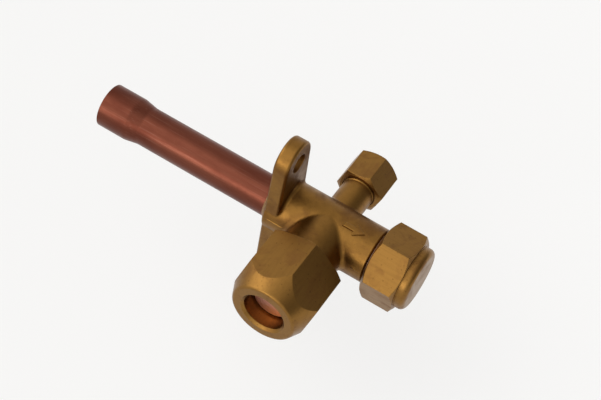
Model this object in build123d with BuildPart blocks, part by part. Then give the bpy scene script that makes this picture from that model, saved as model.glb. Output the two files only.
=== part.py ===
"""Three-way refrigerant service valve, 1/2 inch flare: forged brass body with a brazed copper stub tube,
a hexagon-key stem under a screw cap, a flare nut with its sealing bonnet and a service port with its core.

Frame, in mm: the origin is on the stem axis in the back face of the mounting flange. +X points along
the stem to its cap, +Z to the upper ear, -Y out of the flare connection and +Y out of the service port.
"""
import os
from math import radians, sqrt, tan

from build123d import *

os.makedirs("parts", exist_ok=True)

# ---------------------------------------------------------------- driving sizes
RUNNING_FIT = 0.05  # radial clearance of shafts, threads and rings that move in a hole
BRAZE_FIT = 0.05  # radial clearance of the stub tube in its socket
SEAT_GAP = 0.08  # between the faces of a closed seat or seal
HEXAGON_CHAMFER = 30.0  # degrees, of the cones that trim every hexagon's corners
CUT_OVER = 1.0  # how far a cut runs past the face that it opens
OVERLAP = 1.0  # how far a joined form reaches into the one that carries it

# copper stub tube
TUBE_OD = 12.7
TUBE_WALL = 0.8
TUBE_DEPTH = 9.5  # length brazed into the body
TUBE_REACH = 62.5  # flange back face to the tube's open end
SOCKET_FIT = 0.05  # radial clearance that the swaged socket leaves a pipe of the same size
SOCKET_LENGTH = 9.8
SOCKET_TAPER = 4.6
SOCKET_BEND = 3.0  # outer radius where the taper begins and ends
BRAZE_FILLET = 1.4
BRAZE_WAIST = 0.35  # share of the fillet's length where it is half as thick
BRAZE_EDGE = 0.12  # thickness of the fillet's feathered edge
BRAZE_GAP = 0.02  # between the fillet and the tube

# mounting flange
FLANGE_THICK = 5.0
FLANGE_ROOT_R = 8.4  # of the ears' outline, where it meets the barrel
EAR_PITCH = 43.4
EAR_TIP_R = 7.1
LOWER_EAR_TIP_R = 8.6
EAR_HOLE = 6.6
EAR_EDGE_ROUND = 0.9

# forging fillets, where a port or an ear grows out of the barrel
EAR_FILLET = 1.2
BOSS_FILLET = 1.8
SERVICE_FILLET = 1.0

# forged barrel and threaded neck for the stem cap
BARREL_R = 9.0
BARREL_END = 35.5
BARREL_CHAMFER = 0.5
NECK_R = 8.0
NECK_LENGTH = 11.1
NECK_LAND = 2.0  # plain length behind the thread
NECK_THREAD_DEPTH = 0.7
NECK_CHAMFER = 0.4
NECK_MOUTH_CHAMFER = 0.5

# stem, its bore and its seat
STEM_R = 5.5
STEM_TRAVEL = 6.5
STEM_END = 38.2
STEM_WAIST_R = 3.6
STEM_WAIST_END = 23.6
STEM_THREAD_START = 29.5
KEY_SIZE = 5.0
KEY_DEPTH = 7.0
STEM_CHAMFER = 0.6
STEM_HEAD_RELIEF = 0.4  # how much smaller than its bore the seat end is
STEM_TIP_LAND = 0.8
STEM_HEAD_LENGTH = 2.2
STEM_NECKING = 1.4  # length of the cone down to the waist
STEM_SHOULDER = 1.2
STEM_UNDERCUT_START = 1.2
STEM_UNDERCUT_SLOPE = 0.4
STEM_UNDERCUT_DEPTH = 0.6
SEAT_X = 12.6
SEAT_R = 4.2
GLAND_X = 26.4  # middle of the O-ring groove
GLAND_WIDTH = 2.0
GLAND_DEPTH = 1.5
STOP_CLEARANCE = 0.05  # left at the open end of the stem's travel
STOP_RING_THICK = 0.7
STOP_RING_DEPTH = 0.6  # how deep its groove is cut into the bore
STOP_RING_INNER_R = 4.7
STOP_RING_GAP = 3.2

# flare connection, 45 degree, 3/4-16 UNF
PORT_X = 18.65
PORT_BOSS_R = 9.9
PORT_BOSS_ROOT_R = 8.7
PORT_BOSS_END = 15.2
PORT_BOSS_CHAMFER = 0.4
FLARE_THREAD_R = 9.525
FLARE_UNDERCUT_DEPTH = 0.9
FLARE_UNDERCUT_LENGTH = 0.6
FLARE_THREAD_START = 16.7
FLARE_LAND = 1.1  # plain length behind the thread
FLARE_THREAD_DEPTH = 0.78
FLARE_FACE_R = 8.6
FLARE_NOSE = 30.8
FLARE_FACE_BREAK = 0.5  # bevel between the thread and the flare face
FLARE_LIP = 0.5  # flat ring round the bore
PORT_BORE_R = 4.8
BONNET_THICK = 0.9
BONNET_SKIRT_R = 9.0
BONNET_CUP_R = 6.3
BONNET_CUP_DEPTH = 1.3
BONNET_CUP_CHAMFER = 0.5

# flare nut
NUT_AF = 24.4
NUT_TURN = 14.6  # of one corner from +Z towards +X, in degrees
NUT_BACK = 15.7
NUT_BACK_CORNER = 16.4
NUT_NOSE_CORNER = 29.5
NUT_END = 37.6
NUT_NOSE_R = 10.4
NUT_NOSE_ROUND = 1.1
NUT_HOLE_R = 6.7
NUT_HOLE_CHAMFER = 0.8
NUT_MOUTH_CHAMFER = 1.6
NUT_MOUTH_LENGTH = 0.6

# stem cap
CAP_AF = 22.4
CAP_TURN = 16.0
CAP_GAP = 0.65  # barrel end to the cap's face, room for the gasket
CAP_BACK_CHAMFER = 1.25
CAP_END_CHAMFER = 1.0
CAP_OVER_NECK = 0.8  # neck end to the far end of the hexagon
CAP_DOME = 3.3
CAP_END_R = 10.2
CAP_END_ROUND = 1.8
CAP_MOUTH_CHAMFER = 0.6
CAP_CROWN_GAP = 0.6  # neck end to the step in the cap's bore
CAP_CROWN_STEP = 2.0
CAP_CROWN_CHAMFER = 0.5
CAP_CROWN_RISE = 0.4  # length of the crown's cone
GASKET_THICK = 0.45
GASKET_WIDTH = 0.5
GASKET_FIT = 0.1  # radial clearance round the neck

# service port, 7/16-20 UNF
SERVICE_NECK_R = 5.35
SERVICE_THREAD_R = 5.556
SERVICE_THREAD_START = 17.6
SERVICE_LEAD_IN = 0.4  # chamfer behind the thread and at both mouths
SERVICE_THREAD_DEPTH = 0.6
SERVICE_LAND = 1.0  # plain length behind the thread
SERVICE_THREAD_END = 25.0
SERVICE_END = 25.6
SERVICE_BORE_R = 2.7
SERVICE_PASSAGE_R = 2.0
SERVICE_CAP_AF = 14.0
SERVICE_CAP_TURN = 18.6
SERVICE_CAP_FACE = 18.0
SERVICE_CAP_BACK_CORNER = 18.9
SERVICE_CAP_END_CORNER = 28.7
SERVICE_CAP_END = 29.7
SERVICE_CAP_RELIEF = 0.3
SERVICE_SEAL_THICK = 1.2
SERVICE_SEAL_R = 4.6

# valve core in the service port
CORE_FIT = 0.05
CORE_HEAD_END = 25.0
CORE_HEAD_LENGTH = 2.6
CORE_SHOULDER = 17.8  # where the bore narrows
CORE_SLEEVE_END = 14.0
CORE_PIN_R = 0.6
CORE_CHAMFER = 0.3
CORE_HEAD_TAPER = 0.4
CORE_HEAD_TAPER_LENGTH = 1.0
CORE_SLEEVE_GAP = 0.25  # radial, between the sleeve and the passage
CORE_SLEEVE_COLLAR_GAP = 0.35
CORE_SEAL_LENGTH = 1.45
CORE_SEAL_START = 0.1  # beyond the shoulder that it seals on
CORE_PART_GAP = 0.02  # between parts of the core that lie on each other
CORE_KEY_WIDTH = 1.0
CORE_KEY_LENGTH = 1.4
CORE_FLOOR = 1.0  # of the sleeve, under the spring
PIN_BELOW_HEAD = 0.1
PIN_FOOT_R = 0.9
PIN_FOOT_LENGTH = 0.48
PIN_COLLAR_LENGTH = 0.4
PIN_COLLAR_OVER_SPRING = 0.1
CUP_BELOW_SLEEVE = 0.55
CUP_GAP = 0.3  # radial, between the cup and the passage
CUP_WALL = 0.3
CUP_FLOOR = 0.6
CUP_CHAMFER = 0.4
CORE_CUP_LENGTH = 1.4
SPRING_WIRE_R = 0.16
SPRING_COIL_R = 1.05
SPRING_TURNS = 6
SPRING_ROOM = 0.12  # radial, round the spring
SPRING_SEAT_GAP = 0.05

port_axis = Axis((PORT_X, 0, 0), (0, 1, 0))
PICK = 0.01  # tolerance when an edge is picked by its place or radius


# ---------------------------------------------------------------- helpers
def turned(profile, mode=Mode.ADD):
    """A turned form about the stem axis, from (x, radius) corners."""
    with BuildSketch(Plane.XY) as section:
        with BuildLine():
            Polyline(*profile, close=True)
        make_face()
    revolve(section.sketch, axis=Axis.X, mode=mode)


def port_turned(profile, side, mode=Mode.ADD):
    """A turned form about the port axis, from (distance, radius) corners, on side -1 (flare) or +1 (service)."""
    with BuildSketch(Plane.XY) as section:
        with BuildLine():
            Polyline(*[(PORT_X + r, side * s) for s, r in profile], close=True)
        make_face()
    revolve(section.sketch, axis=port_axis, mode=mode)


def corner_r(across_flats):
    return across_flats / sqrt(3)


def cone_x(r, edge_x, edge_r):
    """Where a 45 degree cone through (edge_x, edge_r), widening towards +X, has radius r."""
    return edge_x + (r - edge_r)


def stem_hexagon(across_flats, turn, x0, x1, mode=Mode.ADD):
    """A hexagonal prism about the stem axis, one corner turned from +Z towards -Y."""
    with BuildSketch(Plane.YZ.offset(x0)) as section:
        RegularPolygon(corner_r(across_flats), 6, rotation=90 + turn)
    extrude(section.sketch, amount=x1 - x0, mode=mode)


def port_hexagon(across_flats, turn, s0, s1, side):
    """A hexagonal prism about the port axis, one corner turned from +Z towards +X."""
    start = Plane(origin=(PORT_X, side * s0, 0), x_dir=(1, 0, 0), z_dir=(0, side, 0))
    with BuildSketch(start) as section:
        # the plane's own y axis is +Z on the flare side and -Z on the service side
        RegularPolygon(corner_r(across_flats), 6, rotation=90 - turn if side < 0 else turn - 90)
    extrude(section.sketch, amount=s1 - s0)


# ---------------------------------------------------------------- derived sizes
tube_r = TUBE_OD / 2
tube_bore_r = tube_r - TUBE_WALL
socket_bore_r = tube_r + SOCKET_FIT
socket_r = socket_bore_r + TUBE_WALL
stem_bore_r = STEM_R + RUNNING_FIT
flare_cone = FLARE_NOSE + PORT_BORE_R + FLARE_LIP  # distance plus radius along the 45 degree flare face
seat_step = SEAT_GAP * sqrt(2)
chamfer_slope = tan(radians(HEXAGON_CHAMFER))
bonnet_inner = flare_cone + seat_step
bonnet_outer = bonnet_inner + BONNET_THICK * sqrt(2)
nut_cone = bonnet_outer + seat_step
nut_bore_r = FLARE_THREAD_R + RUNNING_FIT
cap_bore_r = NECK_R + RUNNING_FIT
neck_end = BARREL_END + NECK_LENGTH
cap_face = BARREL_END + CAP_GAP
cap_hex_end = neck_end + CAP_OVER_NECK
cap_end = cap_hex_end + CAP_DOME
stop_ring_x = STEM_END + STEM_TRAVEL + STOP_CLEARANCE + STOP_RING_THICK / 2
neck_root_r = NECK_R - NECK_THREAD_DEPTH
flare_root_r = FLARE_THREAD_R - FLARE_THREAD_DEPTH
undercut_r = FLARE_THREAD_R - FLARE_UNDERCUT_DEPTH
flare_land_end = FLARE_THREAD_START + FLARE_LAND
service_land_end = SERVICE_THREAD_START + SERVICE_LEAD_IN + SERVICE_LAND
service_root_r = SERVICE_THREAD_R - SERVICE_THREAD_DEPTH
service_cap_bore_r = SERVICE_THREAD_R + RUNNING_FIT

# ---------------------------------------------------------------- valve body
with BuildPart() as valve_body:
    # flange with two opposed ears
    with BuildSketch(Plane.YZ):
        Circle(FLANGE_ROOT_R)
        with Locations((0, EAR_PITCH / 2)):
            Circle(EAR_TIP_R)
        with Locations((0, -EAR_PITCH / 2)):
            Circle(LOWER_EAR_TIP_R)
        make_hull()
    extrude(amount=FLANGE_THICK)
    rims = valve_body.edges().filter_by(Plane.YZ)
    fillet(rims, radius=EAR_EDGE_ROUND)
    # barrel and threaded neck
    turned(
        [
            (0, 0),
            (0, BARREL_R - BARREL_CHAMFER),
            (BARREL_CHAMFER, BARREL_R),
            (BARREL_END - BARREL_CHAMFER, BARREL_R),
            (BARREL_END, BARREL_R - BARREL_CHAMFER),
            (BARREL_END, NECK_R),
            (BARREL_END + NECK_LAND, NECK_R),
            (BARREL_END + NECK_LAND + NECK_THREAD_DEPTH, neck_root_r),
            (neck_end - NECK_CHAMFER, neck_root_r),
            (neck_end, neck_root_r - NECK_CHAMFER),
            (neck_end, 0),
        ]
    )
    # boss of the flare connection, drafted so that it widens away from the barrel
    port_turned(
        [
            (0, 0),
            (0, PORT_BOSS_ROOT_R),
            (PORT_BOSS_END - PORT_BOSS_CHAMFER, PORT_BOSS_R),
            (PORT_BOSS_END, PORT_BOSS_R - PORT_BOSS_CHAMFER),
            (PORT_BOSS_END, 0),
        ],
        side=-1,
    )
    # threaded flare end with its 45 degree face
    port_turned(
        [
            (PORT_BOSS_END - OVERLAP, 0),
            (PORT_BOSS_END - OVERLAP, undercut_r),
            (PORT_BOSS_END + FLARE_UNDERCUT_LENGTH, undercut_r),
            (FLARE_THREAD_START, FLARE_THREAD_R),
            (flare_land_end, FLARE_THREAD_R),
            (flare_land_end + FLARE_THREAD_DEPTH, flare_root_r),
            (flare_cone - FLARE_FACE_R - FLARE_FACE_BREAK, flare_root_r),
            (flare_cone - FLARE_FACE_R, FLARE_FACE_R),
            (FLARE_NOSE, flare_cone - FLARE_NOSE),
            (FLARE_NOSE, 0),
        ],
        side=-1,
    )
    # service port
    port_turned(
        [
            (OVERLAP, 0),
            (OVERLAP, SERVICE_NECK_R),
            (SERVICE_THREAD_START, SERVICE_NECK_R),
            (SERVICE_THREAD_START + SERVICE_LEAD_IN, SERVICE_THREAD_R),
            (service_land_end, SERVICE_THREAD_R),
            (service_land_end + SERVICE_THREAD_DEPTH, service_root_r),
            (SERVICE_THREAD_END, service_root_r),
            (SERVICE_END, service_root_r - (SERVICE_END - SERVICE_THREAD_END)),
            (SERVICE_END, 0),
        ],
        side=1,
    )
    # forging fillets
    crossings = valve_body.edges().filter_by(GeomType.BSPLINE)
    fillet(crossings.filter_by(lambda e: e.length > 4 * PORT_BOSS_R), radius=BOSS_FILLET)
    crossings = valve_body.edges().filter_by(GeomType.BSPLINE)
    service_root = crossings.filter_by(lambda e: e.center().Y > 0 and e.center().X > PORT_X - SERVICE_NECK_R)
    fillet(service_root, radius=SERVICE_FILLET)
    rings = valve_body.edges().filter_by(GeomType.CIRCLE)
    barrel_rings = rings.filter_by(lambda e: abs(e.radius - BARREL_R) < PICK)
    ear_roots = barrel_rings.filter_by_position(Axis.X, FLANGE_THICK - PICK, FLANGE_THICK + PICK)
    fillet(ear_roots, radius=EAR_FILLET)
    # bores
    counterbore_r = tube_r + BRAZE_FIT
    turned([(-CUT_OVER, 0), (-CUT_OVER, counterbore_r), (TUBE_DEPTH, counterbore_r), (TUBE_DEPTH, 0)], Mode.SUBTRACT)
    turned(
        [
            (TUBE_DEPTH - CUT_OVER, 0),
            (TUBE_DEPTH - CUT_OVER, SEAT_R),
            (SEAT_X, SEAT_R),
            (cone_x(stem_bore_r, SEAT_X, SEAT_R), stem_bore_r),
            (neck_end - NECK_MOUTH_CHAMFER, stem_bore_r),
            (neck_end + NECK_MOUTH_CHAMFER, stem_bore_r + 2 * NECK_MOUTH_CHAMFER),
            (neck_end + NECK_MOUTH_CHAMFER, 0),
        ],
        Mode.SUBTRACT,
    )
    stop_groove = STOP_RING_THICK + 2 * SEAT_GAP
    turned(
        [
            (stop_ring_x - stop_groove / 2, 0),
            (stop_ring_x - stop_groove / 2, stem_bore_r + STOP_RING_DEPTH),
            (stop_ring_x + stop_groove / 2, stem_bore_r + STOP_RING_DEPTH),
            (stop_ring_x + stop_groove / 2, 0),
        ],
        Mode.SUBTRACT,
    )
    bore_end = FLARE_NOSE + CUT_OVER
    port_turned([(0, 0), (0, PORT_BORE_R), (bore_end, PORT_BORE_R), (bore_end, 0)], -1, Mode.SUBTRACT)
    port_turned(
        [
            (0, 0),
            (0, SERVICE_PASSAGE_R),
            (CORE_SHOULDER - (SERVICE_BORE_R - SERVICE_PASSAGE_R), SERVICE_PASSAGE_R),
            (CORE_SHOULDER, SERVICE_BORE_R),
            (SERVICE_END - SERVICE_LEAD_IN, SERVICE_BORE_R),
            (SERVICE_END + SERVICE_LEAD_IN, SERVICE_BORE_R + 2 * SERVICE_LEAD_IN),
            (SERVICE_END + SERVICE_LEAD_IN, 0),
        ],
        1,
        Mode.SUBTRACT,
    )
    with Locations(Plane.YZ.offset(FLANGE_THICK / 2)):
        with Locations((0, EAR_PITCH / 2, 0), (0, -EAR_PITCH / 2, 0)):
            Cylinder(EAR_HOLE / 2, FLANGE_THICK * 2, mode=Mode.SUBTRACT)

# ---------------------------------------------------------------- stub tube
tube_end = TUBE_DEPTH - 2 * SEAT_GAP
with BuildPart() as stub_tube:
    shoulder = -(TUBE_REACH - SOCKET_LENGTH)
    turned(
        [
            (tube_end, tube_bore_r),
            (tube_end, tube_r),
            (shoulder + SOCKET_TAPER, tube_r),
            (shoulder, socket_r),
            (-TUBE_REACH, socket_r),
            (-TUBE_REACH, socket_bore_r),
            (shoulder, socket_bore_r),
            (shoulder + SOCKET_TAPER, tube_bore_r),
        ]
    )
    rings = stub_tube.edges().filter_by(GeomType.CIRCLE)
    outer = rings.filter_by(lambda e: min(abs(e.radius - socket_r), abs(e.radius - tube_r)) < PICK)
    fillet(outer.filter_by_position(Axis.X, shoulder - PICK, shoulder + SOCKET_TAPER + PICK), radius=SOCKET_BEND)

with BuildPart() as braze_ring:
    turned(
        [
            (0, tube_r + BRAZE_GAP),
            (0, tube_r + BRAZE_FILLET),
            (-BRAZE_WAIST * BRAZE_FILLET, tube_r + BRAZE_FILLET / 2),
            (-BRAZE_FILLET, tube_r + BRAZE_EDGE),
            (-BRAZE_FILLET, tube_r + BRAZE_GAP),
        ]
    )

# ---------------------------------------------------------------- stem
groove_floor = STEM_R - GLAND_DEPTH
with BuildPart() as valve_stem:
    tip_r = SEAT_R - STEM_TIP_LAND
    head_r = STEM_R - STEM_HEAD_RELIEF
    stem_undercut_r = STEM_R - STEM_UNDERCUT_DEPTH
    undercut_start = STEM_THREAD_START - STEM_UNDERCUT_START
    waist_start = SEAT_X + STEM_HEAD_LENGTH
    turned(
        [
            (cone_x(tip_r, SEAT_X, SEAT_R) + seat_step, 0),
            (cone_x(tip_r, SEAT_X, SEAT_R) + seat_step, tip_r),
            (cone_x(head_r, SEAT_X, SEAT_R) + seat_step, head_r),
            (waist_start, head_r),
            (waist_start + STEM_NECKING, STEM_WAIST_R),
            (STEM_WAIST_END - STEM_SHOULDER, STEM_WAIST_R),
            (STEM_WAIST_END, STEM_R),
            (GLAND_X - GLAND_WIDTH / 2, STEM_R),
            (GLAND_X - GLAND_WIDTH / 2, groove_floor),
            (GLAND_X + GLAND_WIDTH / 2, groove_floor),
            (GLAND_X + GLAND_WIDTH / 2, STEM_R),
            (undercut_start, STEM_R),
            (undercut_start + STEM_UNDERCUT_SLOPE, stem_undercut_r),
            (STEM_THREAD_START, stem_undercut_r),
            (STEM_THREAD_START + STEM_UNDERCUT_DEPTH, STEM_R),
            (STEM_END - STEM_CHAMFER, STEM_R),
            (STEM_END, STEM_R - STEM_CHAMFER),
            (STEM_END, 0),
        ]
    )
    stem_hexagon(KEY_SIZE, 0, STEM_END - KEY_DEPTH, STEM_END + CUT_OVER, Mode.SUBTRACT)

with BuildPart() as stem_o_ring:
    ring_r = (GLAND_DEPTH - RUNNING_FIT) / 2
    with BuildSketch(Plane.XY):
        with Locations((GLAND_X, groove_floor + RUNNING_FIT + ring_r)):
            Circle(ring_r)
    revolve(axis=Axis.X)

with BuildPart() as stem_retaining_ring:
    outer = stem_bore_r + STOP_RING_DEPTH - RUNNING_FIT
    turned(
        [
            (stop_ring_x - STOP_RING_THICK / 2, STOP_RING_INNER_R),
            (stop_ring_x - STOP_RING_THICK / 2, outer),
            (stop_ring_x + STOP_RING_THICK / 2, outer),
            (stop_ring_x + STOP_RING_THICK / 2, STOP_RING_INNER_R),
        ]
    )
    with Locations((stop_ring_x, 0, -outer)):
        Box(STOP_RING_THICK + 2 * CUT_OVER, STOP_RING_GAP, outer, mode=Mode.SUBTRACT)

# ---------------------------------------------------------------- stem cap and its gasket
with BuildPart() as stem_cap:
    stem_hexagon(CAP_AF, CAP_TURN, cap_face, cap_hex_end)
    corner = corner_r(CAP_AF)
    back_r = corner - CAP_BACK_CHAMFER / chamfer_slope
    front_r = corner - CAP_END_CHAMFER / chamfer_slope
    turned(
        [
            (cap_face, 0),
            (cap_face, back_r),
            (cap_face + CAP_BACK_CHAMFER, corner),
            (cap_hex_end - CAP_END_CHAMFER, corner),
            (cap_hex_end, front_r),
            (cap_hex_end, 0),
        ],
        Mode.INTERSECT,
    )
    dome_start = cap_hex_end - OVERLAP
    turned([(dome_start, 0), (dome_start, CAP_END_R), (cap_end, CAP_END_R), (cap_end, 0)])
    crown = neck_end + CAP_CROWN_GAP
    rings = stem_cap.edges().filter_by(GeomType.CIRCLE)
    fillet(rings.filter_by_position(Axis.X, cap_end - PICK, cap_end + PICK), radius=CAP_END_ROUND)
    turned(
        [
            (cap_face - CUT_OVER, 0),
            (cap_face - CUT_OVER, cap_bore_r + CAP_MOUTH_CHAMFER),
            (cap_face + CAP_MOUTH_CHAMFER, cap_bore_r),
            (crown, cap_bore_r),
            (crown, cap_bore_r - CAP_CROWN_STEP),
            (crown + CAP_CROWN_RISE, cap_bore_r - CAP_CROWN_STEP - CAP_CROWN_CHAMFER),
            (crown + CAP_CROWN_RISE, 0),
        ],
        Mode.SUBTRACT,
    )

gasket_start = (BARREL_END + cap_face - GASKET_THICK) / 2
gasket_r = NECK_R + GASKET_FIT + GASKET_WIDTH
with BuildPart() as stem_cap_gasket:
    turned(
        [
            (gasket_start, NECK_R + GASKET_FIT),
            (gasket_start, gasket_r),
            (gasket_start + GASKET_THICK, gasket_r),
            (gasket_start + GASKET_THICK, NECK_R + GASKET_FIT),
        ]
    )

# ---------------------------------------------------------------- flare nut and bonnet
with BuildPart() as flare_nut:
    port_hexagon(NUT_AF, NUT_TURN, NUT_BACK, NUT_END, -1)
    corner = corner_r(NUT_AF)
    port_turned(
        [
            (NUT_BACK, 0),
            (NUT_BACK, corner - (NUT_BACK_CORNER - NUT_BACK) / chamfer_slope),
            (NUT_BACK_CORNER, corner),
            (NUT_NOSE_CORNER, corner),
            (NUT_END, NUT_NOSE_R),
            (NUT_END, 0),
        ],
        -1,
        Mode.INTERSECT,
    )
    rings = flare_nut.edges().filter_by(GeomType.CIRCLE)
    fillet(rings.filter_by_position(Axis.Y, -NUT_END - PICK, -NUT_END + PICK), radius=NUT_NOSE_ROUND)
    port_turned(
        [
            (NUT_BACK - CUT_OVER, 0),
            (NUT_BACK - CUT_OVER, nut_bore_r + NUT_MOUTH_CHAMFER),
            (NUT_BACK + NUT_MOUTH_LENGTH, nut_bore_r),
            (nut_cone - nut_bore_r, nut_bore_r),
            (nut_cone - NUT_HOLE_R, NUT_HOLE_R),
            (NUT_END - NUT_HOLE_CHAMFER, NUT_HOLE_R),
            (NUT_END + CUT_OVER, NUT_HOLE_R + NUT_HOLE_CHAMFER + CUT_OVER),
            (NUT_END + CUT_OVER, 0),
        ],
        -1,
        Mode.SUBTRACT,
    )

with BuildPart() as flare_bonnet:
    cup_inner_r = BONNET_CUP_R - BONNET_THICK
    cup_start = bonnet_outer - BONNET_CUP_R
    cup_end = cup_start + BONNET_CUP_DEPTH
    port_turned(
        [
            (bonnet_inner - BONNET_SKIRT_R, BONNET_SKIRT_R),
            (bonnet_outer - BONNET_SKIRT_R, BONNET_SKIRT_R),
            (cup_start, BONNET_CUP_R),
            (cup_end - BONNET_CUP_CHAMFER, BONNET_CUP_R),
            (cup_end, BONNET_CUP_R - BONNET_CUP_CHAMFER),
            (cup_end, 0),
            (cup_end - BONNET_THICK, 0),
            (cup_end - BONNET_THICK, cup_inner_r),
            (bonnet_inner - cup_inner_r, cup_inner_r),
        ],
        -1,
    )

# ---------------------------------------------------------------- service cap and seal
with BuildPart() as service_cap:
    port_hexagon(SERVICE_CAP_AF, SERVICE_CAP_TURN, SERVICE_CAP_FACE, SERVICE_CAP_END, 1)
    corner = corner_r(SERVICE_CAP_AF)
    rise = (SERVICE_CAP_BACK_CORNER - SERVICE_CAP_FACE) / chamfer_slope
    fall = (SERVICE_CAP_END - SERVICE_CAP_END_CORNER) / chamfer_slope
    port_turned(
        [
            (SERVICE_CAP_FACE, 0),
            (SERVICE_CAP_FACE, corner - rise),
            (SERVICE_CAP_BACK_CORNER, corner),
            (SERVICE_CAP_END_CORNER, corner),
            (SERVICE_CAP_END, corner - fall),
            (SERVICE_CAP_END, 0),
        ],
        1,
        Mode.INTERSECT,
    )
    seal_seat = SERVICE_END + SERVICE_SEAL_THICK + 2 * SEAT_GAP
    port_turned(
        [
            (SERVICE_CAP_FACE - CUT_OVER, 0),
            (SERVICE_CAP_FACE - CUT_OVER, service_cap_bore_r + SERVICE_LEAD_IN),
            (SERVICE_CAP_FACE + SERVICE_LEAD_IN, service_cap_bore_r),
            (SERVICE_THREAD_END - SERVICE_CAP_RELIEF, service_cap_bore_r),
            (SERVICE_END, SERVICE_SEAL_R + RUNNING_FIT),
            (seal_seat, SERVICE_SEAL_R + RUNNING_FIT),
            (seal_seat, 0),
        ],
        1,
        Mode.SUBTRACT,
    )

with BuildPart() as service_cap_seal:
    port_turned(
        [
            (SERVICE_END + SEAT_GAP, 0),
            (SERVICE_END + SEAT_GAP, SERVICE_SEAL_R),
            (SERVICE_END + SEAT_GAP + SERVICE_SEAL_THICK, SERVICE_SEAL_R),
            (SERVICE_END + SEAT_GAP + SERVICE_SEAL_THICK, 0),
        ],
        1,
    )

# ---------------------------------------------------------------- valve core
head_start = CORE_HEAD_END - CORE_HEAD_LENGTH
sleeve_r = SERVICE_PASSAGE_R - CORE_SLEEVE_GAP
head_r = SERVICE_BORE_R - CORE_FIT
head_bottom = head_start - CORE_PART_GAP
pin_hole_r = CORE_PIN_R + CORE_FIT
with BuildPart() as core_head:
    port_turned(
        [
            (head_start, pin_hole_r),
            (head_start, head_r - CORE_CHAMFER),
            (head_start + CORE_CHAMFER, head_r),
            (CORE_HEAD_END - CORE_HEAD_TAPER_LENGTH, head_r),
            (CORE_HEAD_END, head_r - CORE_HEAD_TAPER),
            (CORE_HEAD_END, pin_hole_r),
        ],
        1,
    )
    with Locations((PORT_X, CORE_HEAD_END, 0)):
        Box(CORE_KEY_WIDTH, CORE_KEY_LENGTH, 2 * SERVICE_BORE_R, mode=Mode.SUBTRACT)

seal_ring_start = CORE_SHOULDER + CORE_SEAL_START
seal_ring_end = seal_ring_start + CORE_SEAL_LENGTH
with BuildPart() as core_sleeve:
    spring_room_r = SPRING_COIL_R + SPRING_WIRE_R + SPRING_ROOM
    collar_r = SERVICE_BORE_R - CORE_SLEEVE_COLLAR_GAP
    collar_start = seal_ring_end + SPRING_SEAT_GAP
    port_turned(
        [
            (CORE_SLEEVE_END, pin_hole_r),
            (CORE_SLEEVE_END, sleeve_r - CORE_CHAMFER),
            (CORE_SLEEVE_END + CORE_CHAMFER, sleeve_r),
            (collar_start, sleeve_r),
            (collar_start, collar_r),
            (head_bottom, collar_r),
            (head_bottom, spring_room_r),
            (CORE_SLEEVE_END + CORE_FLOOR, spring_room_r),
            (CORE_SLEEVE_END + CORE_FLOOR, pin_hole_r),
        ],
        1,
    )

with BuildPart() as core_seal_ring:
    port_turned(
        [
            (seal_ring_start, sleeve_r + CORE_PART_GAP),
            (seal_ring_start, SERVICE_BORE_R - CORE_FIT),
            (seal_ring_end, SERVICE_BORE_R - CORE_FIT),
            (seal_ring_end, sleeve_r + CORE_PART_GAP),
        ],
        1,
    )

cup_top = CORE_SLEEVE_END - CUP_BELOW_SLEEVE
cup_floor = cup_top - CORE_CUP_LENGTH
foot_end = cup_floor - CORE_PART_GAP
pin_end = CORE_HEAD_END - PIN_BELOW_HEAD
with BuildPart() as core_pin:
    collar = head_start - CORE_CHAMFER
    pin_collar_r = SPRING_COIL_R + PIN_COLLAR_OVER_SPRING
    port_turned(
        [
            (foot_end - PIN_FOOT_LENGTH, 0),
            (foot_end - PIN_FOOT_LENGTH, PIN_FOOT_R),
            (foot_end, PIN_FOOT_R),
            (foot_end, CORE_PIN_R),
            (collar - PIN_COLLAR_LENGTH, CORE_PIN_R),
            (collar - PIN_COLLAR_LENGTH, pin_collar_r),
            (collar, pin_collar_r),
            (collar, CORE_PIN_R),
            (pin_end - CORE_CHAMFER, CORE_PIN_R),
            (pin_end, CORE_PIN_R - CORE_CHAMFER),
            (pin_end, 0),
        ],
        1,
    )

with BuildPart() as core_cup:
    cup_r = SERVICE_PASSAGE_R - CUP_GAP
    port_turned(
        [
            (cup_floor, CORE_PIN_R + CORE_PART_GAP),
            (cup_floor, cup_r - CUP_CHAMFER),
            (cup_floor + CUP_CHAMFER, cup_r),
            (cup_top, cup_r),
            (cup_top, cup_r - CUP_WALL),
            (cup_floor + CUP_FLOOR, cup_r - CUP_WALL),
            (cup_floor + CUP_FLOOR, CORE_PIN_R + CORE_PART_GAP),
        ],
        1,
    )

with BuildPart() as core_cup_seal:
    seal_floor = cup_floor + CUP_FLOOR + CORE_PART_GAP
    seal_r = cup_r - CUP_WALL - 2 * CORE_PART_GAP
    port_turned(
        [
            (seal_floor, CORE_PIN_R + 2 * CORE_PART_GAP),
            (seal_floor, seal_r),
            (CORE_SLEEVE_END - SEAT_GAP, seal_r),
            (CORE_SLEEVE_END - SEAT_GAP, CORE_PIN_R + 2 * CORE_PART_GAP),
        ],
        1,
    )

with BuildPart() as core_spring:
    spring_start = CORE_SLEEVE_END + CORE_FLOOR + SPRING_WIRE_R + SPRING_SEAT_GAP
    spring_end = collar - PIN_COLLAR_LENGTH - SPRING_WIRE_R - SPRING_SEAT_GAP
    with BuildLine():
        coil = Helix(
            pitch=(spring_end - spring_start) / SPRING_TURNS,
            height=spring_end - spring_start,
            radius=SPRING_COIL_R,
            center=(PORT_X, spring_start, 0),
            direction=(0, 1, 0),
        )
    with BuildSketch(Plane(origin=coil @ 0, z_dir=coil % 0)):
        Circle(SPRING_WIRE_R)
    sweep()

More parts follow.
